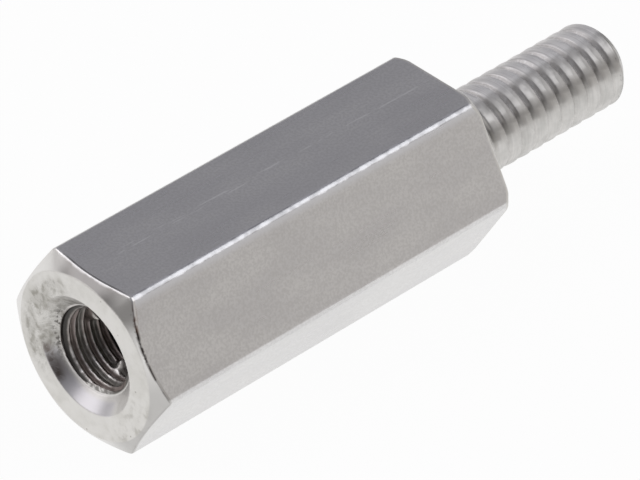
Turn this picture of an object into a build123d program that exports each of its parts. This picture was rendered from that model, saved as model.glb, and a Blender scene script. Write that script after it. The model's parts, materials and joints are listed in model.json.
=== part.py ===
# Male-female hexagon standoff, turned in one piece from drawn hexagon bar and plated.
# It lies on one flat at Z = 0. The tapped end faces -X and the stud points to +X.
import os
from math import cos, pi, radians, tan

from build123d import *

# Drawn bar
across_flats = 4.0
body_length = 10.0
bar_edge_radius = 0.16

# Tapped end: a flat ring, set in from the flats, between the turned chamfer and the countersunk hole
end_ring_inset = 0.1
end_chamfer_angle = 30.0
countersink_diameter = 2.7
countersink_angle = 90.0
tap_drill_diameter = 1.7
tap_drill_depth = 7.0
drill_point_angle = 118.0
end_edge_radius = 0.05

# Stud end: the corners of the shoulder are turned off, and the stud has its thread's outside diameter
shoulder_corner_cut = 0.15
shoulder_chamfer_angle = 45.0
stud_diameter = 1.95
stud_length = 5.0
stud_tip_chamfer = 0.22

# How far the turning profiles run past the surfaces that they cut
overrun = 0.2

# Worked out from the sizes above
bar_sides = 6
axis_height = across_flats / 2
overall_length = body_length + stud_length
tapped_end_x = -overall_length / 2
shoulder_x = tapped_end_x + body_length
corner_radius = across_flats / 2 / cos(pi / bar_sides)
turning_radius = corner_radius + overrun
end_ring_radius = across_flats / 2 - end_ring_inset
shoulder_radius = corner_radius - shoulder_corner_cut
end_chamfer_length = (turning_radius - end_ring_radius) * tan(radians(end_chamfer_angle))
shoulder_chamfer_length = (turning_radius - shoulder_radius) * tan(radians(shoulder_chamfer_angle))
countersink_slope = tan(radians(countersink_angle / 2))
countersink_depth = (countersink_diameter - tap_drill_diameter) / 2 / countersink_slope
drill_point_length = tap_drill_diameter / 2 / tan(radians(drill_point_angle / 2))

# The bar's section at either end, and the half section that every turned form is drawn in
tapped_end_plane = Plane(origin=(tapped_end_x, 0, axis_height), x_dir=(0, 1, 0), z_dir=(1, 0, 0))
shoulder_plane = Plane(origin=(shoulder_x, 0, axis_height), x_dir=(0, 1, 0), z_dir=(1, 0, 0))
turning_plane = Plane(origin=(tapped_end_x, 0, axis_height), x_dir=(1, 0, 0), z_dir=(0, -1, 0))
turning_axis = Axis(origin=(tapped_end_x, 0, axis_height), direction=(1, 0, 0))

with BuildPart() as hex_standoff:
    # Hexagon bar with two flats level and its long edges a little rounded by drawing
    with BuildSketch(tapped_end_plane) as bar_section:
        RegularPolygon(radius=across_flats / 2, side_count=bar_sides, major_radius=False)
        fillet(bar_section.vertices(), radius=bar_edge_radius)
    extrude(amount=body_length)

    # Both ends are faced and chamfered, and each cone leaves an arched edge on every flat
    with BuildSketch(turning_plane):
        with BuildLine():
            Polyline(
                (0, 0),
                (0, end_ring_radius),
                (end_chamfer_length, turning_radius),
                (body_length - shoulder_chamfer_length, turning_radius),
                (body_length, shoulder_radius),
                (body_length, 0),
                close=True,
            )
        make_face()
    revolve(axis=turning_axis, mode=Mode.INTERSECT)

    # Stud on the shoulder, chamfered at its tip for starting a nut
    with BuildSketch(shoulder_plane):
        Circle(radius=stud_diameter / 2)
    extrude(amount=stud_length)
    chamfer(hex_standoff.faces().sort_by(Axis.X)[-1].edges(), length=stud_tip_chamfer)

    # Blind tapping hole with its drill point, opened by a countersink
    with BuildSketch(turning_plane):
        with BuildLine():
            Polyline(
                (-overrun, 0),
                (-overrun, countersink_diameter / 2 + overrun * countersink_slope),
                (countersink_depth, tap_drill_diameter / 2),
                (tap_drill_depth, tap_drill_diameter / 2),
                (tap_drill_depth + drill_point_length, 0),
                close=True,
            )
        make_face()
    revolve(axis=turning_axis, mode=Mode.SUBTRACT)

    # Both rims of the end ring are broken
    fillet(hex_standoff.faces().sort_by(Axis.X)[0].edges(), radius=end_edge_radius)

hex_standoff.part.label = "hex_standoff"

os.makedirs("parts", exist_ok=True)
export_step(hex_standoff.part, "parts/hex_standoff.step")
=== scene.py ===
import json
import math

import bpy
import numpy as np
from mathutils import Matrix, Vector


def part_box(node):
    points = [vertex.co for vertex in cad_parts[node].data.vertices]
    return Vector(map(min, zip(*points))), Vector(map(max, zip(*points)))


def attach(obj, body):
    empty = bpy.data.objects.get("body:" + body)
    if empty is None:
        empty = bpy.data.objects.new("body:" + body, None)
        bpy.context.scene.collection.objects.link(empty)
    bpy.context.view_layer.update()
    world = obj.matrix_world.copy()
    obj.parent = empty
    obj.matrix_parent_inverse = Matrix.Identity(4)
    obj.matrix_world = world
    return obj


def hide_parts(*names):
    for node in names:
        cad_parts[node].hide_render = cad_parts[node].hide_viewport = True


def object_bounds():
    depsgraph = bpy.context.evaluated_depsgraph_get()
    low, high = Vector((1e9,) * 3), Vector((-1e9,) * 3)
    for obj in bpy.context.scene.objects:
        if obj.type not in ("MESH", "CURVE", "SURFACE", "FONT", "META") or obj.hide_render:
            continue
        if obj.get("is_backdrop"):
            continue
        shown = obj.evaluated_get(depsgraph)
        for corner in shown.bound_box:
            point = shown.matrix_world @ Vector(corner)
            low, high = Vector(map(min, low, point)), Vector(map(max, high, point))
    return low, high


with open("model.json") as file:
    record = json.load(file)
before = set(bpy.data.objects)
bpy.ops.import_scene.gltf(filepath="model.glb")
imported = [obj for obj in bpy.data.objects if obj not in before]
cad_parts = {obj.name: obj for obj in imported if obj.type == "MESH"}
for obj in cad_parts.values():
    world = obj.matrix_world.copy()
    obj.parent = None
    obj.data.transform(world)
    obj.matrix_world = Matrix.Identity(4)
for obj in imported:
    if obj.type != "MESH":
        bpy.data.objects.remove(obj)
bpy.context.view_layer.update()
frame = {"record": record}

# Camera: a long lens looking down at the tapped end and along the body to the stud.
# The viewpoint was measured from the hexagon's edges, the countersink and the stud in the photograph.
scene = bpy.context.scene
scene.view_settings.view_transform = "Standard"
MM = 0.001
photo_width = 640
focal_pixels = 6000.0
viewpoint = Vector((-70.66, -70.32, 77.33)) * MM
look_at = Vector((-0.771, 0.098, 1.381)) * MM
camera_roll = math.radians(1.04)

camera_data = bpy.data.cameras.new("photo_camera")
camera_data.sensor_width = 36.0
camera_data.lens = focal_pixels / photo_width * camera_data.sensor_width
camera_data.clip_start = 0.01
camera_data.clip_end = 10.0
camera = bpy.data.objects.new("photo_camera", camera_data)
scene.collection.objects.link(camera)
aim = (look_at - viewpoint).to_track_quat("-Z", "Y").to_matrix().to_4x4()
camera.matrix_world = Matrix.Translation(viewpoint) @ aim @ Matrix.Rotation(camera_roll, 4, "Z")
scene.camera = camera

# Hexagon standoff: one piece of steel bar, drawn to a hexagon, then faced, chamfered, drilled,
# countersunk and tapped at one end and turned down to a threaded stud at the other, and plated bright.
# The blank is swept round its axis in columns, and the two threads are then cut into it by one node tree.
mounts = {mount["name"]: mount for mount in frame["record"]["mounts"]}
box_low, box_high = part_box("hex_standoff")
across_flats = (box_high.z - box_low.z) / MM
axis_height = (box_high.z + box_low.z) / 2 / MM
tapped_end_x = box_low.x / MM
shoulder_x = mounts["shoulder"]["pos_m"][0] / MM
body_length = shoulder_x - tapped_end_x
stud_length = box_high.x / MM - shoulder_x
stud_radius = mounts["stud"]["dims"]["r_mm"]
bar_edge_radius = 0.16
end_ring_radius = 1.9
end_chamfer_slope = math.tan(math.radians(30.0))
countersink_radius = 1.35
shoulder_chamfer = 0.15
shoulder_radius = across_flats / 2 / math.cos(math.pi / 6) - shoulder_chamfer
thread_pitch = 0.4
tap_crest_radius = mounts["tapped_hole"]["dims"]["r_mm"]
tap_lip_radius = 0.87
tap_root_radius = 0.98
tap_depth = 6.0
tap_drill_depth = 7.0
drill_point_angle = 118.0
drill_point_length = tap_crest_radius / math.tan(math.radians(drill_point_angle / 2))

# What wear and the tap left: the stud's tip is rubbed off further, and the end chamfer is wider on the top
# flat, full within one angle of the top and gone at another.
# The tap ran off the axis, and a small step was left at the mouth of the hole.
stud_tip_wear = 0.04
stud_tip_chamfer = stud_length - mounts["stud"]["dims"]["length_mm"] + stud_tip_wear
top_ring_wear = 0.04
top_arch_x = 0.158
top_arch_slope = 0.445
top_wear_full, top_wear_gone = 17.0, 43.0
tap_across, tap_low = 0.05, 0.045
mouth_radius = 1.01

# Small roundings of the edges, and the least that the shoulder's chamfer takes off
sink_rim_round, ring_round, arch_round = 0.06, 0.05, 0.05
far_edge_round, shoulder_round = 0.08, 0.06
tip_crest_round, tip_rim_round = 0.2, 0.15
least_shoulder_cut = 0.03

# Columns round the axis: even along each flat, close together round each drawn edge
flat_steps, edge_steps, beside_edge = 9, 8, 0.03
flat_run = (across_flats / 2 - bar_edge_radius) * math.tan(math.pi / 6)
edge_centre = (across_flats / 2 - bar_edge_radius) / math.cos(math.pi / 6)
column_angle, column_reach = [], []
for side in range(6):
    facing = math.radians(30.0 + 60.0 * side)
    even = [flat_run * k / flat_steps for k in range(1 - flat_steps, flat_steps)]
    for along in [-flat_run, -flat_run + beside_edge] + even + [flat_run - beside_edge, flat_run]:
        column_angle.append(facing + math.atan2(along, across_flats / 2))
        column_reach.append(math.hypot(along, across_flats / 2))
    for k in range(1, edge_steps):
        turn = math.radians(-30.0 + 60.0 / edge_steps * k)
        out = edge_centre + bar_edge_radius * math.cos(turn)
        over = bar_edge_radius * math.sin(turn)
        column_angle.append(facing + math.pi / 6 + math.atan2(over, out))
        column_reach.append(math.hypot(over, out))
columns = len(column_angle)


def rounded(before, corner, after, radius, steps):
    """Points of a small arc that takes off the corner of a profile."""
    a, b, c = Vector(before), Vector(corner), Vector(after)
    to_a, to_c = (a - b), (c - b)
    half = to_a.angle(to_c) / 2
    set_back = min(radius / math.tan(half), 0.45 * to_a.length, 0.45 * to_c.length)
    radius = set_back * math.tan(half)
    middle = b + (to_a.normalized() + to_c.normalized()).normalized() * radius / math.sin(half)
    start, end = b + to_a.normalized() * set_back - middle, b + to_c.normalized() * set_back - middle
    turn = start.angle_signed(end)
    made = []
    for k in range(steps + 1):
        spun = start.copy()
        spun.rotate(Matrix.Rotation(-turn * k / steps, 2))
        made.append(tuple(middle + spun))
    return made


def run(start, end, count, support=0.03):
    """Points between two ends of a straight stretch, with one close to each end so that it shades flat."""
    a, b = Vector(start), Vector(end)
    near = min(0.25, support / max((b - a).length, 1e-6))
    shares = [near] + [near + (1 - 2 * near) * k / (count + 1) for k in range(1, count + 1)] + [1 - near]
    return [tuple(a.lerp(b, s)) for s in shares]


def wall(start, end, radius, rows_per_pitch):
    """Points along a stretch of bore or shank that a thread is cut into."""
    count = max(1, round(abs(end - start) / thread_pitch * rows_per_pitch))
    return [(start + (end - start) * k / count, radius) for k in range(count)]


# Half section of the blank for one column, from the drill point to the middle of the stud's tip.
# Each row has a zone, which says what thread is cut there, and a finish. Rows lie closer where threads show.
PLAIN, STUD, TAPPED = 0.0, 1.0, 3.0
FLAT, TURNED = 0, 1
deep_rows, shown_rows, stud_rows = 9, 22, 24
shown_depth, mouth_length = 2.2, 0.6
mouth_rows = 14
step_rows, step_length = 8, 0.04
cone_rows, cone_step = 5, 0.02


def half_section(reach, angle):
    """Points of the column at this angle, where the bar reaches so far out, with their zones and finishes."""
    points, zones, finishes = [], [], []
    edge_radius = mouth_radius + tap_across * math.cos(angle) - tap_low * math.sin(angle)
    mouth_depth = countersink_radius - edge_radius
    off_top = math.degrees(math.acos(min(max(math.sin(angle), -1.0), 1.0)))
    top_share = (top_wear_gone - off_top) / (top_wear_gone - top_wear_full)
    top_share = min(max(top_share, 0.0), 1.0)
    top_share = top_share * top_share * (3.0 - 2.0 * top_share)
    ring_radius = end_ring_radius - top_ring_wear * top_share
    turned_x = (reach - end_ring_radius) * end_chamfer_slope
    worn_x = top_arch_x + (reach - across_flats / 2) * top_arch_slope

    def put(made, zone, finish):
        points.extend(made)
        zones.extend([zone] * len(made))
        finishes.extend([finish] * len(made))

    drill_tip = (tap_drill_depth + drill_point_length, 0.0)
    drill_end = (tap_drill_depth, tap_crest_radius)
    put(run(drill_tip, drill_end, 1) + [drill_end], PLAIN, TURNED)
    put(wall(tap_depth + thread_pitch, shown_depth, tap_crest_radius, deep_rows), TAPPED, TURNED)
    put(wall(shown_depth, mouth_length, tap_crest_radius, shown_rows), TAPPED, TURNED)
    step_foot = mouth_depth + step_length
    to_step = step_foot - mouth_length
    put([(mouth_length + to_step * k / mouth_rows, tap_crest_radius)
         for k in range(mouth_rows)], TAPPED, TURNED)
    step = edge_radius - tap_crest_radius
    put([(step_foot - step_length / step_rows * k, tap_crest_radius + step * k / step_rows)
         for k in range(step_rows)], TAPPED, TURNED)
    cone = [(mouth_depth - cone_step * k, edge_radius + cone_step * k) for k in range(cone_rows)]
    put(cone, TAPPED, TURNED)
    rim = rounded(cone[-1], (0.0, countersink_radius), (0.0, ring_radius), sink_rim_round, 5)
    put(run(cone[-1], rim[0], 4) + rim, PLAIN, TURNED)
    chamfer_foot = (turned_x + (worn_x - turned_x) * top_share, reach)
    corner = rounded((0.0, countersink_radius), (0.0, ring_radius), chamfer_foot, ring_round, 4)
    put(run(rim[-1], corner[0], 5) + corner, PLAIN, TURNED)
    cut = max(reach - shoulder_radius, least_shoulder_cut)
    flat_end = (body_length - cut, reach)
    edge = rounded((0.0, ring_radius), chamfer_foot, flat_end, arch_round, 5)
    put(run(corner[-1], edge[0], 4, 0.02) + edge, PLAIN, TURNED)
    shoulder_rim = (body_length, reach - cut)
    far_edge = rounded(chamfer_foot, flat_end, shoulder_rim, far_edge_round, 4)
    put(run(edge[-1], far_edge[0], 10), PLAIN, FLAT)
    put(far_edge, PLAIN, TURNED)
    stud_root = (body_length, stud_radius)
    rim = rounded(flat_end, shoulder_rim, stud_root, shoulder_round, 4)
    put(run(far_edge[-1], rim[0], 1, 0.01) + rim, PLAIN, TURNED)
    put(run(rim[-1], stud_root, 5) + [stud_root], PLAIN, TURNED)
    tip = body_length + stud_length
    shank_end = tip - stud_tip_chamfer
    put(wall(body_length, shank_end, stud_radius, stud_rows)[1:], STUD, TURNED)
    tip_rim = (tip, stud_radius - stud_tip_chamfer)
    crest = rounded((body_length, stud_radius), (shank_end, stud_radius), tip_rim, tip_crest_round, 6)
    lip = rounded((shank_end, stud_radius), tip_rim, (tip, 0.0), tip_rim_round, 6)
    put(crest + run(crest[-1], lip[0], 4, 0.01) + lip, STUD, TURNED)
    put(run(lip[-1], (tip, 0.0), 5), PLAIN, TURNED)
    return points, zones, finishes


sections = [half_section(reach, angle) for reach, angle in zip(column_reach, column_angle)]
row_zone, row_finish = sections[0][1], sections[0][2]
rows = len(row_zone)
profile = np.array([section[0] for section in sections])
around = np.array(column_angle)[:, None]
ring_x = tapped_end_x + profile[:, :, 0]
ring_y = profile[:, :, 1] * np.cos(around)
ring_z = axis_height + profile[:, :, 1] * np.sin(around)
points = np.stack([ring_x, ring_y, ring_z], 2).transpose(1, 0, 2).reshape(-1, 3)
drill_pole_point = (tapped_end_x + tap_drill_depth + drill_point_length, 0.0, axis_height)
stud_pole_point = (tapped_end_x + body_length + stud_length, 0.0, axis_height)
points = np.vstack([points, drill_pole_point, stud_pole_point]) * MM
faces, face_finish = [], []
for row in range(rows - 1):
    low, high = row * columns, (row + 1) * columns
    for k in range(columns):
        n = (k + 1) % columns
        faces.append((low + k, high + k, high + n, low + n))
        face_finish.append(min(row_finish[row] + row_finish[row + 1], TURNED))
last, drill_pole, stud_pole = (rows - 1) * columns, rows * columns, rows * columns + 1
for k in range(columns):
    n = (k + 1) % columns
    faces += [(drill_pole, k, n), (stud_pole, last + n, last + k)]
    face_finish += [TURNED, TURNED]

blank = bpy.data.meshes.new("hex_standoff_blank")
blank.from_pydata(points.tolist(), [], faces)
point_zone = np.concatenate([np.repeat(row_zone, columns), [PLAIN, PLAIN]])
zone = blank.attributes.new("thread_zone", "FLOAT", "POINT")
zone.data.foreach_set("value", point_zone.astype(np.float32))
standoff = bpy.data.objects.new("hex_standoff", blank)
scene.collection.objects.link(standoff)


# Plated finishes: the same bright plate over surfaces that were drawn, turned, rolled and tapped.
# Each reads places in millimetres from the middle of the tapped end, X along the axis,
# and directions round the axis in degrees from +Y towards +Z.
def add(tree, kind, inputs, **settings):
    """Adds a node to a tree, and joins or sets each input that is given."""
    node = tree.nodes.new(kind)
    for name, value in settings.items():
        setattr(node, name, value)
    for socket, value in inputs.items():
        if isinstance(value, bpy.types.NodeSocket):
            tree.links.new(value, node.inputs[socket])
        else:
            node.inputs[socket].default_value = value
    return node


def sums(tree, operation, *values):
    """One step of arithmetic on numbers or joined sockets."""
    return add(tree, "ShaderNodeMath", dict(enumerate(values)), operation=operation).outputs[0]


def ramp(tree, value, low, high, out_low, out_high, shape="SMOOTHSTEP"):
    """Runs from one number to another while a value goes from low to high, and stays there beyond."""
    inputs = dict(enumerate((value, low, high, out_low, out_high)))
    return add(tree, "ShaderNodeMapRange", inputs, interpolation_type=shape).outputs[0]


def tint(tree, share, first, second):
    """A colour between two, which are colours or joined sockets."""
    colours = [(*c, 1.0) if isinstance(c, tuple) else c for c in (first, second)]
    return add(tree, "ShaderNodeMix", {0: share, 6: colours[0], 7: colours[1]}, data_type="RGBA").outputs[2]


def vector(tree, operation, first, second):
    """The node of one step of arithmetic on two places or directions."""
    return add(tree, "ShaderNodeVectorMath", {0: first, 1: second}, operation=operation)


def noise(tree, place, grain, detail=2.0, distortion=0.0):
    """Soft noise with so many grains to the millimetre along X, Y and Z."""
    stretched = vector(tree, "MULTIPLY", place, grain).outputs[0]
    inputs = {"Vector": stretched, "Scale": 1.0, "Detail": detail, "Distortion": distortion}
    return add(tree, "ShaderNodeTexNoise", inputs).outputs[0]


def plated(name):
    """A new metal finish, with its node tree and its place in millimetres from the tapped end."""
    material = bpy.data.materials.new(name)
    material.use_nodes = True
    tree = material.node_tree
    tree.nodes["Principled BSDF"].inputs["Metallic"].default_value = 1.0
    spot = add(tree, "ShaderNodeTexCoord", {}).outputs["Object"]
    inputs = {0: spot, 1: (1 / MM,) * 3, 2: (-tapped_end_x, 0.0, -axis_height)}
    place = add(tree, "ShaderNodeVectorMath", inputs, operation="MULTIPLY_ADD").outputs[0]
    return material, tree, place


def surface(tree, colour, roughness, height, depth):
    """Joins a finish's colour, roughness and relief to its shader. The depth is in millimetres."""
    shader = tree.nodes["Principled BSDF"]
    relief = add(tree, "ShaderNodeBump", {"Strength": 1.0, "Distance": depth * MM, "Height": height})
    tree.links.new(colour, shader.inputs["Base Color"])
    tree.links.new(roughness, shader.inputs["Roughness"])
    tree.links.new(relief.outputs[0], shader.inputs["Normal"])


def apart(tree, place):
    """X, Y, Z and the distance from the axis."""
    x, y, z = add(tree, "ShaderNodeSeparateXYZ", {0: place}).outputs
    squares = sums(tree, "ADD", sums(tree, "MULTIPLY", y, y), sums(tree, "MULTIPLY", z, z))
    return x, y, z, sums(tree, "SQRT", squares)


def towards(tree, place, degrees):
    """1 on the side of the axis in this direction, falling to -1 opposite."""
    across = vector(tree, "MULTIPLY", place, (0.0, 1.0, 1.0)).outputs[0]
    unit = vector(tree, "NORMALIZE", across, (0.0, 0.0, 0.0)).outputs[0]
    heading = (0.0, math.cos(math.radians(degrees)), math.sin(math.radians(degrees)))
    return vector(tree, "DOT_PRODUCT", unit, heading).outputs["Value"]


def near_line(tree, place, start, end, width):
    """1 on a straight mark between two places, falling to 0 at its width."""
    span = Vector(end) - Vector(start)
    offset = vector(tree, "SUBTRACT", place, start).outputs[0]
    share = vector(tree, "DOT_PRODUCT", offset, tuple(span / span.length_squared)).outputs["Value"]
    share = ramp(tree, share, 0.0, 1.0, 0.0, 1.0, "LINEAR")
    passed = {k: sums(tree, "MULTIPLY", share, span[k]) for k in range(3)}
    closest = add(tree, "ShaderNodeCombineXYZ", passed).outputs[0]
    gap = vector(tree, "DISTANCE", offset, closest).outputs["Value"]
    return ramp(tree, gap, 0.0, width, 1.0, 0.0)


def edge_grime(tree, place, x, radius, facing, width):
    """1 on the arched edge between the end chamfer and the flat that faces so, falling to 0 at its width."""
    outward = sums(tree, "MULTIPLY", towards(tree, place, facing), radius)
    inside = sums(tree, "SUBTRACT", across_flats / 2, outward)
    cone_x = sums(tree, "MULTIPLY", sums(tree, "SUBTRACT", radius, end_ring_radius), end_chamfer_slope)
    gap = sums(tree, "MAXIMUM", inside, sums(tree, "SUBTRACT", x, cone_x))
    return ramp(tree, gap, 0.0, width, 1.0, 0.0)


# Drawn flats: the bar's own skin, plated over the faint lines that the drawing die left along it.
# It has a fine grain, soft mottling, a broken rub mark on the top and a rubbed, dented upper ridge,
# with a painted highlight, a cool glow, on the front flat just below that ridge,
# and grime and a rust spot where the front flat meets the end chamfer.
front_flat, up_the_front, upper_ridge, lower_flat = 150.0, 60.0, 120.0, 210.0
plate_dark, plate_light, plate_grain = (0.70, 0.69, 0.69), (0.76, 0.75, 0.74), (0.60, 0.59, 0.58)
rub_bright, ridge_glow = (0.95, 0.94, 0.93), (0.82, 0.825, 0.855)
edge_plate, edge_worn = (0.69, 0.69, 0.705), (0.44, 0.44, 0.45)
rust_brown, grime_dark = (0.40, 0.31, 0.26), (0.06, 0.045, 0.04)
flat_relief = 0.0012

drawn_flat, tree, place = plated("drawn_flat")
x, _, _, radius = apart(tree, place)
lines = noise(tree, place, (0.1, 11.0, 11.0), 3.0)
grain = noise(tree, place, (17.0, 17.0, 17.0), 2.0)
mottle = noise(tree, place, (0.5, 1.4, 1.4), 3.0)
rub = sums(tree, "MAXIMUM",
           near_line(tree, place, (0.95, 0.2, 2.0), (9.8, 0.04, 2.0), 0.04),
           near_line(tree, place, (1.0, 0.11, 2.0), (4.6, 0.06, 2.0), 0.03))
broken = ramp(tree, noise(tree, place, (1.6, 9.0, 9.0), 3.0), 0.47, 0.6, 0.0, 0.7)
rub = sums(tree, "MULTIPLY", rub, broken)
colour = tint(tree, ramp(tree, mottle, 0.3, 0.7, 0.0, 1.0), plate_dark, plate_light)
colour = tint(tree, ramp(tree, grain, 0.35, 0.65, 0.0, 0.55), colour, plate_grain)
colour = tint(tree, rub, colour, rub_bright)
# Painted highlight: a cool glow painted on the front flat just below the upper ridge, where the ridge's
# highlight spreads
outward = sums(tree, "MULTIPLY", towards(tree, place, front_flat), radius)
on_front = ramp(tree, outward, 1.9, 1.98, 0.0, 1.0)
upward = sums(tree, "MULTIPLY", towards(tree, place, up_the_front), radius)
glow_below_ridge = ramp(tree, upward, 0.88, 1.09, 0.0, on_front)
colour = tint(tree, glow_below_ridge, colour, ridge_glow)
rubbed_ridge = ramp(tree, towards(tree, place, upper_ridge), 0.85, 0.97, 0.1, 1.0)
on_edge = ramp(tree, radius, 2.266, 2.279, 0.0, rubbed_ridge)
edge_wear = noise(tree, place, (3.5, 6.0, 6.0), 3.0)
worn_edge = tint(tree, ramp(tree, edge_wear, 0.4, 0.62, 0.0, 0.8), edge_plate, edge_worn)
colour = tint(tree, on_edge, colour, worn_edge)
grime = edge_grime(tree, place, x, radius, front_flat, 0.035)
patchy = ramp(tree, noise(tree, place, (5.0, 5.0, 5.0), 3.0), 0.35, 0.55, 0.3, 1.0)
grime = sums(tree, "MULTIPLY", grime, patchy)
rust_spot = near_line(tree, place, (0.21, -1.25, 1.835), (0.15, -1.38, 1.61), 0.1)
colour = tint(tree, sums(tree, "MULTIPLY", rust_spot, 0.6), colour, rust_brown)
colour = tint(tree, grime, colour, grime_dark)
roughness = ramp(tree, sums(tree, "ADD", lines, mottle), 0.7, 1.3, 0.27, 0.31, "LINEAR")
height = sums(tree, "ADD", sums(tree, "MULTIPLY", lines, 0.08), sums(tree, "MULTIPLY", grain, 0.3))
dents = sums(tree, "MULTIPLY", sums(tree, "SUBTRACT", edge_wear, 0.5), 6.0)
height = sums(tree, "ADD", height, sums(tree, "MULTIPLY", on_edge, dents))
surface(tree, colour, roughness, height, flat_relief)

# Turned end: steel faced and chamfered in the lathe, so that fine rings from the tool show in the plate.
# The face is dull and stained to the left, and the chamfer is painted darker as shade on its top and low
# sides.
# Its worn edge along the top flat is painted lighter as a highlight, with grime along the front one,
# and the countersink is polished below, with a darker streak painted at its left.
to_the_left, low_right, below = 14.0, 212.0, 285.0
chamfer_low_side, chamfer_top_side = 205.0, 92.0
face_light, face_grey, stain_grey = (0.75, 0.735, 0.71), (0.69, 0.675, 0.645), (0.50, 0.485, 0.455)
dirt_brown, scratch_dark, speck_dark = (0.34, 0.325, 0.29), (0.20, 0.19, 0.18), (0.2, 0.18, 0.16)
sink_polish, sink_streak_dark = (0.63, 0.618, 0.635), (0.20, 0.17, 0.155)
chamfer_light, chamfer_low_shade, chamfer_top_shade = (0.76, 0.745, 0.73), (0.47, 0.46, 0.45), (0.215, 0.205, 0.2)
worn_highlight = (0.88, 0.87, 0.87)
line_dark, line_rust = (0.045, 0.035, 0.03), (0.17, 0.09, 0.055)
face_rough, polish_rough, chamfer_rough, worn_rough = [(share,) * 3 for share in (0.46, 0.33, 0.28, 0.22)]
turned_relief = 0.0015

turned_end, tree, place = plated("turned_end")
x, y, z, radius = apart(tree, place)
ring_inputs = {0: radius, 1: x, 2: sums(tree, "MULTIPLY", y, 0.02)}
ring_place = add(tree, "ShaderNodeCombineXYZ", ring_inputs).outputs[0]
tool_rings = noise(tree, ring_place, (24.0, 24.0, 24.0), 2.0)
cloud = noise(tree, place, (2.1, 2.1, 2.1), 5.0, 0.6)
scribble = noise(tree, place, (4.5, 4.5, 4.5), 3.0, 2.0)
left_side = ramp(tree, towards(tree, place, to_the_left), 0.35, 0.95, 0.0, 1.0)
left_side = sums(tree, "MULTIPLY", left_side, ramp(tree, radius, 1.6, 1.85, 1.0, 0.15))
near_end = ramp(tree, x, 1.5, 2.5, 1.0, 0.0)
left_side = sums(tree, "MULTIPLY", left_side, near_end)
colour = tint(tree, ramp(tree, cloud, 0.35, 0.7, 0.0, 1.0), face_light, face_grey)
stain = sums(tree, "MULTIPLY", left_side, ramp(tree, cloud, 0.4, 0.58, 0.25, 0.75))
colour = tint(tree, stain, colour, stain_grey)
dirt = ramp(tree, noise(tree, place, (5.5, 5.5, 5.5), 3.0), 0.44, 0.66, 0.0, 0.85)
dirt = sums(tree, "MULTIPLY", dirt, ramp(tree, cloud, 0.38, 0.6, 0.35, 1.0))
right_dirt = ramp(tree, towards(tree, place, low_right), 0.8, 0.98, 0.0, 0.5)
right_dirt = sums(tree, "MULTIPLY", right_dirt, ramp(tree, radius, 1.38, 1.5, 0.0, near_end))
dirt_share = sums(tree, "MAXIMUM", ramp(tree, left_side, 0.0, 0.8, 0.1, 1.0), right_dirt)
colour = tint(tree, sums(tree, "MULTIPLY", dirt, dirt_share), colour, dirt_brown)
scratch = ramp(tree, sums(tree, "ABSOLUTE", sums(tree, "SUBTRACT", scribble, 0.5)), 0.0, 0.03, 1.0, 0.0)
scratch = sums(tree, "MULTIPLY", scratch, sums(tree, "MULTIPLY", left_side, 0.3))
colour = tint(tree, scratch, colour, scratch_dark)
in_sink = ramp(tree, radius, countersink_radius - 0.02, countersink_radius + 0.01, 1.0, 0.0)
in_sink = sums(tree, "MULTIPLY", in_sink, ramp(tree, radius, 1.08, 1.17, 0.0, near_end))
polished = sums(tree, "MULTIPLY", in_sink, ramp(tree, towards(tree, place, below), 0.55, 0.7, 0.0, 1.0))
colour = tint(tree, polished, colour, sink_polish)
# A darker streak painted on the left of the countersink
sink_streak = near_line(tree, place, (0.06, 1.21, -0.47), (0.06, 0.82, -1.01), 0.19)
sink_streak = sums(tree, "MULTIPLY", sink_streak, in_sink)
sink_streak = sums(tree, "MULTIPLY", sink_streak, ramp(tree, scribble, 0.35, 0.6, 0.4, 0.9))
colour = tint(tree, sink_streak, colour, sink_streak_dark)
on_chamfer = sums(tree, "MULTIPLY", ramp(tree, x, 0.002, 0.025, 0.0, 1.0), ramp(tree, x, 0.5, 0.6, 1.0, 0.0))
on_chamfer = sums(tree, "MULTIPLY", on_chamfer, ramp(tree, radius, 1.7, 1.75, 0.0, 1.0))
from_top = sums(tree, "SUBTRACT", across_flats / 2, z)
arch_x = sums(tree, "MULTIPLY", sums(tree, "SUBTRACT", radius, across_flats / 2), top_arch_slope)
from_arch = sums(tree, "ABSOLUTE", sums(tree, "SUBTRACT", sums(tree, "SUBTRACT", x, top_arch_x), arch_x))
# The worn edge along the top flat, painted lighter as a painted highlight
worn_highlight_width = ramp(tree, noise(tree, place, (4.0, 4.0, 4.0), 2.0), 0.35, 0.65, 0.025, 0.05)
worn_highlight_line = ramp(tree, sums(tree, "MAXIMUM", from_top, from_arch), 0.0, worn_highlight_width, 0.7, 0.0)
# Painted shade: the chamfer is painted darker on its low side and much darker on its top side
chamfer_low = ramp(tree, towards(tree, place, chamfer_low_side), 0.6, 0.92, 0.0, 1.0)
chamfer_tone = tint(tree, chamfer_low, chamfer_light, chamfer_low_shade)
chamfer_top = ramp(tree, towards(tree, place, chamfer_top_side), 0.875, 0.96, 0.0, 1.0)
chamfer_tone = tint(tree, chamfer_top, chamfer_tone, chamfer_top_shade)
colour = tint(tree, sums(tree, "MULTIPLY", on_chamfer, 0.8), colour, chamfer_tone)
colour = tint(tree, worn_highlight_line, colour, worn_highlight)
speck = add(tree, "ShaderNodeTexVoronoi", {"Vector": place, "Scale": 3.1}).outputs["Distance"]
speck = ramp(tree, speck, 0.02, 0.1, 0.55, 0.0)
speck = sums(tree, "MULTIPLY", speck, ramp(tree, x, 0.0, 0.25, 1.0, 0.0))
colour = tint(tree, speck, colour, speck_dark)
broken = ramp(tree, noise(tree, place, (5.0, 5.0, 5.0), 3.0), 0.3, 0.5, 0.35, 1.0)
line_width = ramp(tree, broken, 0.5, 1.0, 0.6, 1.0)
line_width = sums(tree, "MULTIPLY", line_width, ramp(tree, z, 0.1, 1.3, 0.03, 0.07))
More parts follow.
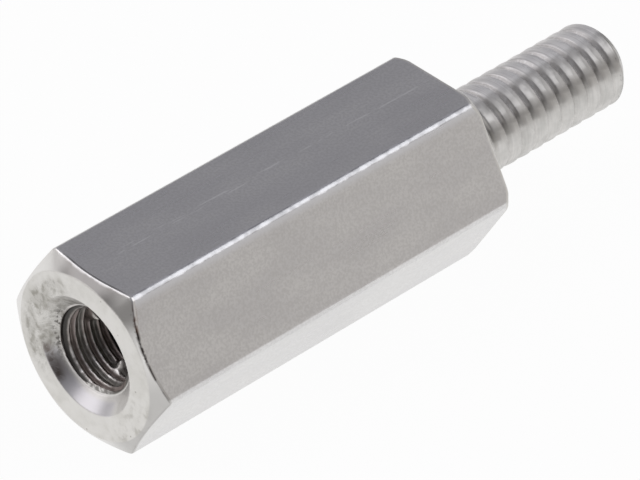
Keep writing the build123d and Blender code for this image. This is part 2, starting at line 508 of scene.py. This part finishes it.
line_width = sums(tree, "MULTIPLY", line_width, ramp(tree, z, 1.55, 1.9, 1.0, 0.5))
grime = edge_grime(tree, place, x, radius, front_flat, line_width)
grime = sums(tree, "MULTIPLY", grime, ramp(tree, z, 0.1, 0.5, 0.5, 1.0))
lower_grime = sums(tree, "MULTIPLY", edge_grime(tree, place, x, radius, lower_flat, 0.03), 0.2)
grime = sums(tree, "MULTIPLY", sums(tree, "MAXIMUM", grime, lower_grime), broken)
rust = near_line(tree, place, (0.2, -1.25, 1.83), (0.1, -1.44, 1.5), 0.18)
colour = tint(tree, grime, colour, tint(tree, rust, line_dark, line_rust))
roughness = tint(tree, polished, face_rough, polish_rough)
roughness = tint(tree, on_chamfer, roughness, chamfer_rough)
roughness = tint(tree, worn_highlight_line, roughness, worn_rough)

# Tapped hole: cut in the bare steel before plating, with oil left in it, and pitted at the left of the mouth.
# Its thread begins at a small step, painted as shade at the top and left and painted lighter at the bottom,
# with a painted highlight on the mouth's edge at the top and bottom. It has two bright lips to each turn,
# painted lighter at the bottom and darker above as painted light, a brown dimple between them and a dark
# groove, with painted shade in the grooves near the mouth. A bright fleck and a burr mark the two chips,
# and the fleck is painted near white, partly as a painted glint.
bottom_side, mouth_top_side, mouth_left_side = 288.0, 75.0, 0.0
lip_phase = 1.46
pit_dark, step_shade, step_lit = (0.16, 0.15, 0.14), (0.14, 0.13, 0.12), (0.74, 0.72, 0.70)
mouth_highlight = (0.85, 0.83, 0.81)
dimple_brown, groove_grey = (0.32, 0.265, 0.245), (0.36, 0.345, 0.32)
bore_oil, mouth_groove_shade = (0.17, 0.15, 0.13), (0.06, 0.055, 0.05)
lip_shaded, lip_lit = (0.38, 0.365, 0.35), (0.95, 0.93, 0.91)
fleck_glint, burr_bright = (0.95, 0.92, 0.88), (0.75, 0.72, 0.68)
bore_rough = (0.38,) * 3

phase = add(tree, "ShaderNodeAttribute", {}, attribute_name="thread_phase").outputs["Fac"]
in_thread = ramp(tree, phase, 0.6, 0.95, 0.0, 1.0)
pits = noise(tree, place, (13.0, 13.0, 13.0), 3.0)
pits = ramp(tree, pits, 0.48, 0.58, 0.2, 1.0)
pits = sums(tree, "MULTIPLY", pits, ramp(tree, radius, 1.06, 1.26, 1.0, 0.0))
pits = sums(tree, "MULTIPLY", pits, ramp(tree, towards(tree, place, mouth_left_side), 0.7, 0.95, 0.04, 1.0))
pits = sums(tree, "MULTIPLY", pits, near_end)
colour = tint(tree, pits, colour, pit_dark)
# Painted light: the step at the mouth is painted dark as shade at the top and left, and lighter and mottled
# at the bottom
at_bottom = ramp(tree, towards(tree, place, bottom_side), 0.6, 0.9, 0.0, 1.0)
rough = ramp(tree, noise(tree, place, (9.0, 9.0, 9.0), 3.0), 0.4, 0.6, 0.25, 1.0)
step_tone = tint(tree, sums(tree, "MULTIPLY", rough, at_bottom), step_shade, step_lit)
tap_radius = apart(tree, vector(tree, "SUBTRACT", place, (0.0, tap_across, -tap_low)).outputs[0])[3]
on_step = ramp(tree, tap_radius, mouth_radius - 0.04, mouth_radius, near_end, 0.0)
colour = tint(tree, on_step, colour, step_tone)
# Painted highlight: the edge of the mouth is painted light at the top and bottom
from_mouth = sums(tree, "ABSOLUTE", sums(tree, "SUBTRACT", tap_radius, mouth_radius))
mouth_edge = ramp(tree, from_mouth, 0.01, 0.04, 1.0, 0.0)
at_top = ramp(tree, towards(tree, place, mouth_top_side), 0.55, 0.9, 0.0, 0.6)
at_ends = sums(tree, "MAXIMUM", at_bottom, at_top)
mouth_edge = sums(tree, "MULTIPLY", mouth_edge, near_end)
colour = tint(tree, sums(tree, "MULTIPLY", mouth_edge, at_ends), colour, mouth_highlight)
lip_width = ramp(tree, at_bottom, 0.0, 1.0, 0.19, 0.26)
lip = ramp(tree, sums(tree, "ABSOLUTE", sums(tree, "SUBTRACT", phase, lip_phase)), 0.05, lip_width, 1.0, 0.0)
groove = ramp(tree, phase, 1.52, 1.66, 0.0, 1.0)
oil = noise(tree, place, (7.0, 7.0, 7.0), 3.0)
at_mouth = ramp(tree, x, 0.4, 0.6, 1.0, 0.0)
bore = tint(tree, groove, dimple_brown, groove_grey)
bore = tint(tree, ramp(tree, oil, 0.4, 0.65, 0.0, 0.5), bore, bore_oil)
# Painted shade: the grooves near the mouth are painted almost black
bore = tint(tree, sums(tree, "MULTIPLY", at_mouth, groove), bore, mouth_groove_shade)
# Painted light: the lips are painted lighter at the bottom of the hole and darker elsewhere
lip_tone = tint(tree, at_bottom, lip_shaded, lip_lit)
lip_share = ramp(tree, x, 0.95, 1.25, 1.0, 0.2)
lip_share = sums(tree, "MULTIPLY", lip_share, ramp(tree, oil, 0.38, 0.6, 1.0, 0.35))
bore = tint(tree, sums(tree, "MULTIPLY", lip, lip_share), bore, lip_tone)
# The long chip is painted near white with little metal, partly a painted glint
fleck = near_line(tree, place, (0.92, 0.05, -0.7), (1.2, 0.02, -0.7), 0.26)
bore = tint(tree, ramp(tree, fleck, 0.2, 0.6, 0.0, 1.0), bore, fleck_glint)
burr = near_line(tree, place, (1.06, 0.78, 0.04), (1.14, 0.78, -0.04), 0.16)
bore = tint(tree, ramp(tree, burr, 0.2, 0.6, 0.0, 1.0), bore, burr_bright)
colour = tint(tree, in_thread, colour, bore)
roughness = tint(tree, in_thread, roughness, bore_rough)
metal_share = ramp(tree, sums(tree, "SUBTRACT", in_thread, lip), 0.0, 1.0, 1.0, 0.5)
chip_metal = ramp(tree, sums(tree, "MAXIMUM", fleck, burr), 0.2, 0.6, 0.0, 0.8)
metal_share = sums(tree, "MAXIMUM", metal_share, chip_metal)
tree.links.new(metal_share, tree.nodes["Principled BSDF"].inputs["Metallic"])
height = sums(tree, "ADD", sums(tree, "MULTIPLY", tool_rings, 0.6), sums(tree, "MULTIPLY", scribble, 0.5))
surface(tree, colour, roughness, height, turned_relief)

# Stud thread: rolled into the turned shank and plated, painted lighter on top and with painted shade
# towards the front. There the crests carry painted shade and the grooves painted light, with a band of
# painted shade below them and another where the stud turns under. The grooves carry painted shade, most of
# all by the shoulder.
top_side, front_side = 78.0, 132.0
crest_shade_side, band_side, fall_side, groove_side = 124.0, 140.0, 149.0, 127.0
ridge_side, groove_shade_side = 112.0, 126.0
stud_light, stud_grey = (0.66, 0.645, 0.625), (0.58, 0.57, 0.55)
top_lit, streak_grey, front_shade = (0.93, 0.915, 0.905), (0.40, 0.39, 0.38), (0.40, 0.385, 0.365)
stud_shade_dark, groove_light_tone = (0.2, 0.19, 0.18), (0.92, 0.905, 0.89)
ridge_dark, groove_shade_dark = (0.30, 0.29, 0.28), (0.07, 0.06, 0.055)
stud_relief = 0.005

stud_thread, tree, place = plated("stud_thread")
x, _, z, radius = apart(tree, place)
patch = noise(tree, place, (3.0, 3.0, 3.0), 4.0)
fine = noise(tree, place, (14.0, 14.0, 14.0), 2.0)
phase = add(tree, "ShaderNodeAttribute", {}, attribute_name="thread_phase").outputs["Fac"]
streak_inputs = {0: phase, 1: sums(tree, "MULTIPLY", x, 0.1), 2: z}
streak_place = add(tree, "ShaderNodeCombineXYZ", streak_inputs).outputs[0]
streaks = noise(tree, streak_place, (9.0, 9.0, 0.9), 2.0)
colour = tint(tree, ramp(tree, patch, 0.35, 0.65, 0.0, 1.0), stud_light, stud_grey)
# Painted light: the top of the stud is painted lighter
on_top = ramp(tree, towards(tree, place, top_side), 0.72, 0.96, 0.0, 1.0)
colour = tint(tree, sums(tree, "MULTIPLY", on_top, 0.9), colour, top_lit)
streak_share = ramp(tree, streaks, 0.42, 0.62, 0.0, 1.0)
streak_share = sums(tree, "MULTIPLY", streak_share, ramp(tree, on_top, 0.0, 1.0, 0.2, 0.3))
colour = tint(tree, streak_share, colour, streak_grey)
# Painted shade: the front is painted darker, its crests darker still, with bands of painted shade below them
# and where the stud turns under
in_front = ramp(tree, towards(tree, place, front_side), 0.78, 0.95, 0.0, 1.0)
colour = tint(tree, sums(tree, "MULTIPLY", in_front, 0.32), colour, front_shade)
before_tip = ramp(tree, x, body_length + 4.3, body_length + 4.7, 1.0, 0.1)
crest_shade = ramp(tree, towards(tree, place, crest_shade_side), 0.955, 0.99, 0.0, before_tip)
crest_shade = sums(tree, "MULTIPLY", crest_shade, ramp(tree, phase, 1.05, 1.45, 0.45, 0.0))
under_band = ramp(tree, towards(tree, place, band_side), 0.985, 0.998, 0.0, 0.4)
near_fall = ramp(tree, towards(tree, place, fall_side), 0.975, 0.993, 0.0, 1.0)
near_fall = sums(tree, "MULTIPLY", near_fall, ramp(tree, phase, 1.15, 1.65, 0.0, 0.35))
stud_shade = sums(tree, "MAXIMUM", sums(tree, "MAXIMUM", crest_shade, under_band), near_fall)
colour = tint(tree, stud_shade, colour, stud_shade_dark)
# Painted light: the grooves at the front are painted lighter
groove_light = ramp(tree, towards(tree, place, groove_side), 0.955, 0.99, 0.0, 0.75)
groove_light = sums(tree, "MULTIPLY", groove_light, ramp(tree, phase, 1.68, 1.84, 0.0, 1.0))
colour = tint(tree, groove_light, colour, groove_light_tone)
# A patchy darker band painted along the ridge at 112 degrees
ridge_darkening = ramp(tree, towards(tree, place, ridge_side), 0.965, 0.995, 0.0, 0.5)
ridge_darkening = sums(tree, "MULTIPLY", ridge_darkening, ramp(tree, patch, 0.4, 0.6, 0.35, 1.0))
colour = tint(tree, ridge_darkening, colour, ridge_dark)
# Painted shade: the grooves are painted dark, most of all by the shoulder, with painted shadow of the
# shoulder in front of it and fainter shade below the crests on top
by_shoulder = ramp(tree, x, body_length + 0.5, body_length + 1.1, 0.9, 0.15)
deep = ramp(tree, sums(tree, "SUBTRACT", stud_radius, radius), 0.05, 0.085, 0.0, 1.0)
groove_shade_share = ramp(tree, towards(tree, place, groove_shade_side), 0.8, 0.95, 0.05, 1.0)
top_groove_shade = sums(tree, "MULTIPLY", on_top, ramp(tree, patch, 0.42, 0.58, 0.95, 0.4))
side_share = sums(tree, "MAXIMUM", groove_shade_share, top_groove_shade)
deep = sums(tree, "MULTIPLY", deep, sums(tree, "MULTIPLY", by_shoulder, side_share))
collar = ramp(tree, x, body_length + 0.16, body_length + 0.34, 0.9, 0.0)
deep = sums(tree, "MAXIMUM", deep, sums(tree, "MULTIPLY", collar, in_front))
far_edge_shade = ramp(tree, sums(tree, "SUBTRACT", stud_radius, radius), 0.012, 0.04, 0.0, 0.35)
deep = sums(tree, "MAXIMUM", deep, sums(tree, "MULTIPLY", far_edge_shade, on_top))
deep = sums(tree, "MULTIPLY", deep, ramp(tree, fine, 0.25, 0.55, 0.6, 1.0))
colour = tint(tree, deep, colour, groove_shade_dark)
roughness = sums(tree, "ADD", ramp(tree, patch, 0.3, 0.7, 0.34, 0.44), sums(tree, "MULTIPLY", on_top, 0.12))
height = sums(tree, "ADD", patch, sums(tree, "MULTIPLY", streaks, 0.4))
surface(tree, colour, roughness, height, stud_relief)

blank.materials.append(drawn_flat)
blank.materials.append(turned_end)
blank.polygons.foreach_set("material_index", np.array(face_finish, np.int32))

# Screw threads: rolled on the stud and tapped in the hole. One tree makes both, and moves every point of a
# zone in or out to a ridge that winds along the axis. The crest may lean to one side, and a dimple along it
# leaves two lips. Some unevenness stands for burrs, and two chips stand up from the wall of the hole.
thread_tree = bpy.data.node_groups.new("screw_thread", "GeometryNodeTree")
thread_tree.is_modifier = True
thread_tree.interface.new_socket(name="Geometry", in_out="INPUT", socket_type="NodeSocketGeometry")
for label in ("Zone", "Axis Across", "Axis Height", "Pitch", "Start", "Crest Radius", "Root Radius",
              "Crest Place", "Crest Share", "Crest Drop", "Root Share", "Dimple Depth", "Dimple Share",
              "Full Depth", "Run Out", "Burr", "Burr Grain", "Chip Size", "Chip Height"):
    thread_tree.interface.new_socket(name=label, in_out="INPUT", socket_type="NodeSocketFloat")
chip_labels = ("Long Chip Place", "Round Chip Place")
chip_squeezes = ((1.1, 0.75, 1.0), (1.0, 1.0, 1.0))
for label in chip_labels:
    thread_tree.interface.new_socket(name=label, in_out="INPUT", socket_type="NodeSocketVector")
thread_tree.interface.new_socket(name="Inside", in_out="INPUT", socket_type="NodeSocketBool")
thread_tree.interface.new_socket(name="Finish", in_out="INPUT", socket_type="NodeSocketMaterial")
thread_tree.interface.new_socket(name="Geometry", in_out="OUTPUT", socket_type="NodeSocketGeometry")
given = thread_tree.nodes.new("NodeGroupInput").outputs


def work(operation, *values):
    """One step of arithmetic in the thread's tree."""
    return sums(thread_tree, operation, *values)


position = add(thread_tree, "GeometryNodeInputPosition", {}).outputs[0]
along, out, up = add(thread_tree, "ShaderNodeSeparateXYZ", {0: position}).outputs
across = work("SUBTRACT", out, given["Axis Across"])
above = work("SUBTRACT", up, given["Axis Height"])
reach_now = work("SQRT", work("ADD", work("MULTIPLY", across, across), work("MULTIPLY", above, above)))
turns = work("DIVIDE", work("ARCTAN2", above, across), 2 * math.pi)
pitches = work("DIVIDE", work("SUBTRACT", along, given["Start"]), given["Pitch"])
wound = work("FRACT", work("SUBTRACT", pitches, turns))
near_side = ramp(thread_tree, wound, 0.0, given["Crest Place"], 1.0, 0.0, "LINEAR")
far_side = ramp(thread_tree, wound, given["Crest Place"], 1.0, 0.0, 1.0, "LINEAR")
from_crest = work("MAXIMUM", near_side, far_side)
flank_end = work("SUBTRACT", 1.0, given["Root Share"])
flank = ramp(thread_tree, from_crest, given["Crest Share"], flank_end, 0.0, 1.0, "LINEAR")
run_in = ramp(thread_tree, along, given["Run Out"], given["Full Depth"], 0.0, 1.0)
full_cut = work("SUBTRACT", given["Root Radius"], given["Crest Radius"])
flank_cut = work("MULTIPLY", work("SUBTRACT", full_cut, given["Crest Drop"]), flank)
to_edge = ramp(thread_tree, from_crest, 0.0, given["Crest Share"], 0.0, 1.0, "LINEAR")
crest_cut = work("MULTIPLY", work("MULTIPLY", to_edge, to_edge), given["Crest Drop"])
cut = work("MULTIPLY", work("ADD", flank_cut, crest_cut), run_in)
uneven_inputs = {"Vector": position, "Scale": given["Burr Grain"], "Detail": 3.0}
uneven = add(thread_tree, "ShaderNodeTexNoise", uneven_inputs).outputs[0]
burr = work("MULTIPLY", work("SUBTRACT", uneven, 0.5), given["Burr"])
dimple = ramp(thread_tree, from_crest, 0.0, given["Dimple Share"], given["Dimple Depth"], 0.0)
ridge = work("ADD", work("ADD", given["Crest Radius"], cut), burr)
ridge = work("ADD", ridge, dimple)
inner = work("MINIMUM", reach_now, ridge)
outer = work("MAXIMUM", reach_now, ridge)
choice = {"Switch": given["Inside"], "False": inner, "True": outer}
standing = add(thread_tree, "GeometryNodeSwitch", choice, input_type="FLOAT").outputs[0]

# The phase runs from 1 on the crest to 2 at the root where the thread has moved a point, and is 0 elsewhere
least_change = 0.004 * MM
change = work("ABSOLUTE", work("SUBTRACT", standing, reach_now))
touched = ramp(thread_tree, change, 0.0, least_change, 0.0, 1.0)
phase = work("MULTIPLY", touched, work("ADD", from_crest, 1.0))
for label, squeeze in zip(chip_labels, chip_squeezes):
    chip_offset = vector(thread_tree, "SUBTRACT", position, given[label]).outputs[0]
    chip_offset = vector(thread_tree, "MULTIPLY", chip_offset, squeeze).outputs[0]
    chip_gap = add(thread_tree, "ShaderNodeVectorMath", {0: chip_offset}, operation="LENGTH").outputs["Value"]
    chip = ramp(thread_tree, chip_gap, 0.0, given["Chip Size"], given["Chip Height"], 0.0)
    standing = work("SUBTRACT", standing, chip)
stretch = work("DIVIDE", standing, reach_now)
moved_out = work("ADD", work("MULTIPLY", across, stretch), given["Axis Across"])
moved_up = work("ADD", work("MULTIPLY", above, stretch), given["Axis Height"])
moved = add(thread_tree, "ShaderNodeCombineXYZ", {0: along, 1: moved_out, 2: moved_up})
zone_node = add(thread_tree, "GeometryNodeInputNamedAttribute", {"Name": "thread_zone"}, data_type="FLOAT")
in_zone = work("COMPARE", zone_node.outputs["Attribute"], given["Zone"], 0.3)
store = add(thread_tree, "GeometryNodeStoreNamedAttribute",
            {"Geometry": given["Geometry"], "Selection": in_zone, "Name": "thread_phase", "Value": phase},
            data_type="FLOAT", domain="POINT")
set_place = add(thread_tree, "GeometryNodeSetPosition",
                {"Geometry": store.outputs[0], "Selection": in_zone, "Position": moved.outputs[0]})
realize = add(thread_tree, "GeometryNodeRealizeInstances", {0: set_place.outputs[0]})
set_finish = add(thread_tree, "GeometryNodeSetMaterial",
                 {"Geometry": realize.outputs[0], "Selection": in_zone, "Material": given["Finish"]})
add(thread_tree, "NodeGroupOutput", {"Geometry": set_finish.outputs[0]})


def cut_thread(name, lengths, shares, inside, finish):
    """Adds the thread tree to the blank, with these lengths in millimetres."""
    modifier = standoff.modifiers.new(name, "NODES")
    modifier.node_group = thread_tree
    sizes = {label: length * MM for label, length in lengths.items()}
    sizes.update(shares, Inside=inside, Finish=finish)
    for item in thread_tree.interface.items_tree:
        if item.in_out == "INPUT" and item.name in sizes:
            modifier[item.identifier] = sizes[item.name]


cut_thread("stud_thread", {
    "Axis Across": 0.0, "Axis Height": axis_height, "Pitch": thread_pitch, "Start": shoulder_x - 0.13,
    "Crest Radius": stud_radius, "Crest Drop": -0.024, "Root Radius": 0.882, "Dimple Depth": 0.0,
    "Full Depth": shoulder_x + 0.15, "Run Out": shoulder_x - 0.1, "Burr": 0.02,
    "Chip Size": 0.1, "Chip Height": 0.0,
}, {
    "Zone": STUD, "Crest Place": 0.83, "Crest Share": 0.7, "Root Share": 0.08, "Dimple Share": 0.1,
    "Burr Grain": 2.0 / MM,
}, False, stud_thread)
cut_thread("tapped_thread", {
    "Axis Across": tap_across, "Axis Height": axis_height - tap_low, "Pitch": thread_pitch,
    "Start": tapped_end_x + 0.33, "Crest Radius": tap_lip_radius, "Crest Drop": 0.0,
    "Root Radius": tap_root_radius, "Dimple Depth": 0.1, "Full Depth": tapped_end_x + tap_depth - 0.6,
    "Run Out": tapped_end_x + tap_depth + 0.2, "Burr": 0.04, "Chip Size": 0.19, "Chip Height": 0.32,
}, {
    "Long Chip Place": Vector((tapped_end_x + 1.06, 0.04, axis_height - tap_crest_radius)) * MM,
    "Round Chip Place": Vector((tapped_end_x + 1.1, tap_crest_radius, axis_height)) * MM,
    "Zone": TAPPED, "Crest Place": 0.5, "Crest Share": 0.5, "Root Share": 0.2, "Dimple Share": 0.42,
    "Burr Grain": 7.0 / MM,
}, True, turned_end)
ready = standoff.evaluated_get(bpy.context.evaluated_depsgraph_get())
turned_piece = bpy.data.meshes.new_from_object(ready)
standoff.modifiers.clear()
standoff.data = turned_piece
turned_piece.name = "hex_standoff"
turned_piece.shade_smooth()
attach(standoff, "root")
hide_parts("hex_standoff")

# Studio: a pale sheet of card under two soft lamps, in a grey room that the metal mirrors.
# The card shows almost white to the eye and to the metal, and still takes a faint shadow.
floor_half = 1.0
card_glow = 0.96
lamp_distance = 0.3
floor_mesh = bpy.data.meshes.new("studio_floor")
corners = [(floor_half * right, floor_half * back, 0) for right, back in ((-1, -1), (1, -1), (1, 1), (-1, 1))]
floor_mesh.from_pydata(corners, [], [(0, 1, 2, 3)])
studio_floor = bpy.data.objects.new("studio_floor", floor_mesh)
scene.collection.objects.link(studio_floor)
card = bpy.data.materials.new("pale_card")
card.use_nodes = True
tree = card.node_tree
tree.nodes.clear()
path = add(tree, "ShaderNodeLightPath", {}).outputs
seen = sums(tree, "MAXIMUM", path["Is Camera Ray"], path["Is Glossy Ray"])
seen = sums(tree, "MAXIMUM", seen, path["Is Transmission Ray"])
share = sums(tree, "MULTIPLY", seen, card_glow)
paper = add(tree, "ShaderNodeBsdfDiffuse", {"Color": (0.9, 0.9, 0.9, 1.0)}).outputs[0]
glow = add(tree, "ShaderNodeEmission", {"Color": (1.0, 1.0, 1.0, 1.0), "Strength": 1.0}).outputs[0]
both = add(tree, "ShaderNodeMixShader", {0: share, 1: paper, 2: glow}).outputs[0]
add(tree, "ShaderNodeOutputMaterial", {"Surface": both})
floor_mesh.materials.append(card)
studio_floor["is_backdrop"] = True


def softbox(name, heading, distance, half_angle, brightness, colour):
    """A round soft lamp that faces the object, with its size as seen from there in degrees."""
    lamp_data = bpy.data.lights.new(name, "AREA")
    lamp_data.shape = "DISK"
    radius = distance * math.tan(math.radians(half_angle))
    lamp_data.size = 2 * radius
    lamp_data.color = colour
    lamp_data.energy = brightness * math.pi * math.pi * radius ** 2
    lamp = bpy.data.objects.new(name, lamp_data)
    lamp.location = Vector(heading).normalized() * distance
    lamp.rotation_euler = Vector(heading).to_track_quat("Z", "Y").to_euler()
    scene.collection.objects.link(lamp)


softbox("left_softbox", (-0.44, 0.57, 0.69), lamp_distance, 28.0, 1.0, (1.0, 0.98, 1.0))
softbox("right_softbox", (0.45, -0.40, 0.80), lamp_distance, 25.0, 1.1, (0.97, 0.975, 1.0))

# The room darkens upwards, and has soft patches, each full near its heading and gone at a wider angle
wall_grey, ceiling_grey = (0.58, 0.57, 0.565), (0.28, 0.28, 0.30)
room = bpy.data.worlds.new("grey_room")
room.use_nodes = True
scene.world = room
tree = room.node_tree
heading = add(tree, "ShaderNodeTexCoord", {}).outputs["Generated"]
level = add(tree, "ShaderNodeSeparateXYZ", {0: heading}).outputs["Z"]
colour = tint(tree, ramp(tree, level, 0.0, 0.6, 0.0, 1.0), wall_grey, ceiling_grey)
for side, full, gone, shade in (
    ((-0.80, -0.52, 0.30), 12.0, 28.0, (0.07, 0.06, 0.055)),
    ((-0.82, 0.50, 0.15), 12.0, 36.0, (0.60, 0.59, 0.59)),
    ((-0.98, 0.11, 0.16), 5.0, 20.0, (0.15, 0.145, 0.14)),
    ((0.05, 0.50, 0.86), 8.0, 26.0, (0.72, 0.71, 0.72)),
    ((0.57, 0.50, 0.65), 14.0, 42.0, (0.31, 0.31, 0.335)),
    ((0.55, -0.82, 0.12), 14.0, 44.0, (0.55, 0.53, 0.515)),
):
    facing = vector(tree, "DOT_PRODUCT", heading, tuple(Vector(side).normalized())).outputs["Value"]
    share = ramp(tree, facing, math.cos(math.radians(gone)), math.cos(math.radians(full)), 0.0, 1.0)
    colour = tint(tree, share, colour, shade)
tree.links.new(colour, tree.nodes["Background"].inputs["Color"])

low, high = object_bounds()
